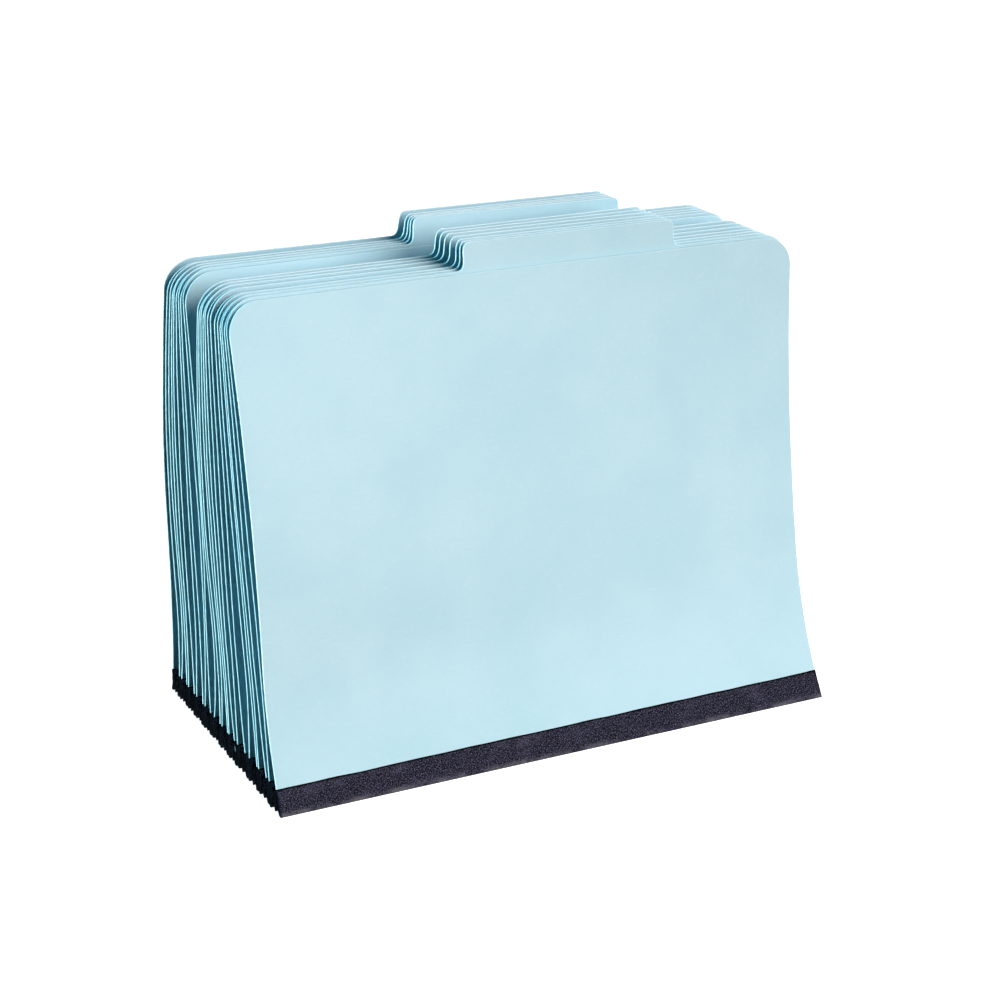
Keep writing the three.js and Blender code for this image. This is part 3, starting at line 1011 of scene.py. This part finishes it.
def make_fasteners(leaves, material):
    """A fastener on the inner face of each rear cover, square to the cover where it sits."""
    pattern = fastener_mesh(material)
    height = BODY_HEIGHT - FASTENER_DROP
    for index in range(FOLDERS):
        inner = leaves[2 * index + 1]

        def spot(x, z):
            return Vector((x, float(bent_depth(inner, x, z)), z))

        left, right = spot(-FASTENER_WIDTH / 2, height), spot(FASTENER_WIDTH / 2, height)
        half = FASTENER_HEIGHT / 2
        rise = spot(0.0, height + half) - spot(0.0, height - half)
        along = (right - left).normalized()
        inward = rise.cross(along).normalized()
        up = along.cross(inward)
        middle = (left + right) / 2 - inward * FASTENER_GAP
        fastener = pattern.copy()
        fastener.data = pattern.data.copy()
        fastener.name = f"prong_fastener_{number(index)}"
        bpy.context.scene.collection.objects.link(fastener)
        for vertex in fastener.data.vertices:
            x, y, z = vertex.co
            vertex.co = middle + along * x + inward * y + up * z
        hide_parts(f"fastener_{number(index)}")
        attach(fastener, f"folder_{number(index)}")
    bpy.data.objects.remove(pattern)


# Studio
def make_floor():
    """A pale floor that glows, so that it stays white, but sheds no light on the folders."""
    material, tree, shader = new_material("pale_floor")
    place = Value(tree, tree.nodes.new("ShaderNodeTexCoord").outputs["Object"])
    tone = noise(tree, place, FLOOR_SCALE)
    plug(tree, mix(tree, tone, FLOOR_GREY, FLOOR_PALE), shader.inputs["Base Color"])
    shader.inputs["Roughness"].default_value = 0.9
    shader.inputs["Specular IOR Level"].default_value = 0.1
    shader.inputs["Emission Color"].default_value = (1, 1, 1, 1)
    shader.inputs["Emission Strength"].default_value = FLOOR_GLOW
    reach = FLOOR_REACH
    corners = [(-reach, -reach, 0), (reach, -reach, 0), (reach, reach, 0), (-reach, reach, 0)]
    floor = new_piece("floor", corners, [(0, 1, 2, 3)], material)
    floor.visible_diffuse = False


def aim(thing, place, target):
    """Puts a lamp or a camera at a place and turns it towards its target."""
    thing.location = place
    look = (Vector(target) - Vector(place)).to_track_quat("-Z", "Y")
    thing.rotation_euler = look.to_euler()
    bpy.context.scene.collection.objects.link(thing)


def make_lights():
    """Warm lights from the front right and from the back, cool ones from above and from the left
    end, where the cut edges face it, and a dim studio, so that it stays dark between the covers."""
    world = bpy.data.worlds.new("studio")
    world.use_nodes = True
    background = world.node_tree.nodes["Background"]
    background.inputs["Color"].default_value = DIM_COLOUR
    background.inputs["Strength"].default_value = DIM_STRENGTH
    bpy.context.scene.world = world
    for name, place, strength, colour, softness in (
        ("key", KEY_PLACE, KEY_STRENGTH, KEY_COLOUR, KEY_SOFTNESS),
        ("back", BACK_PLACE, BACK_STRENGTH, BACK_COLOUR, BACK_SOFTNESS),
        ("side", SIDE_PLACE, SIDE_STRENGTH, SIDE_COLOUR, SIDE_SOFTNESS),
        ("top", TOP_PLACE, TOP_STRENGTH, TOP_COLOUR, TOP_SOFTNESS),
    ):
        sun = bpy.data.lights.new(name, "SUN")
        sun.energy = strength
        sun.color = colour
        sun.angle = softness
        aim(bpy.data.objects.new(name, sun), place, LIGHT_TARGET)


def make_camera():
    camera = bpy.data.cameras.new("camera")
    camera.lens = CAMERA_LENS
    camera.sensor_width = CAMERA_SENSOR
    holder = bpy.data.objects.new("camera", camera)
    aim(holder, CAMERA_PLACE, CAMERA_TARGET)
    holder.rotation_euler.rotate_axis("Z", CAMERA_ROLL)
    bpy.context.scene.camera = holder


def main():
    make_camera()
    leaves = [measure_leaf(node) for node, _, _ in cover_nodes()]
    fibre = fibre_group()
    make_covers(leaves, pressboard_material(fibre))
    make_tapes(leaves, cloth_material(weave_group()))
    make_fasteners(leaves, steel_material(fibre))
    make_floor()
    make_lights()
    scene = bpy.context.scene
    scene.view_settings.view_transform = "Standard"
    scene.cycles.diffuse_bounces = DIFFUSE_BOUNCES


main()
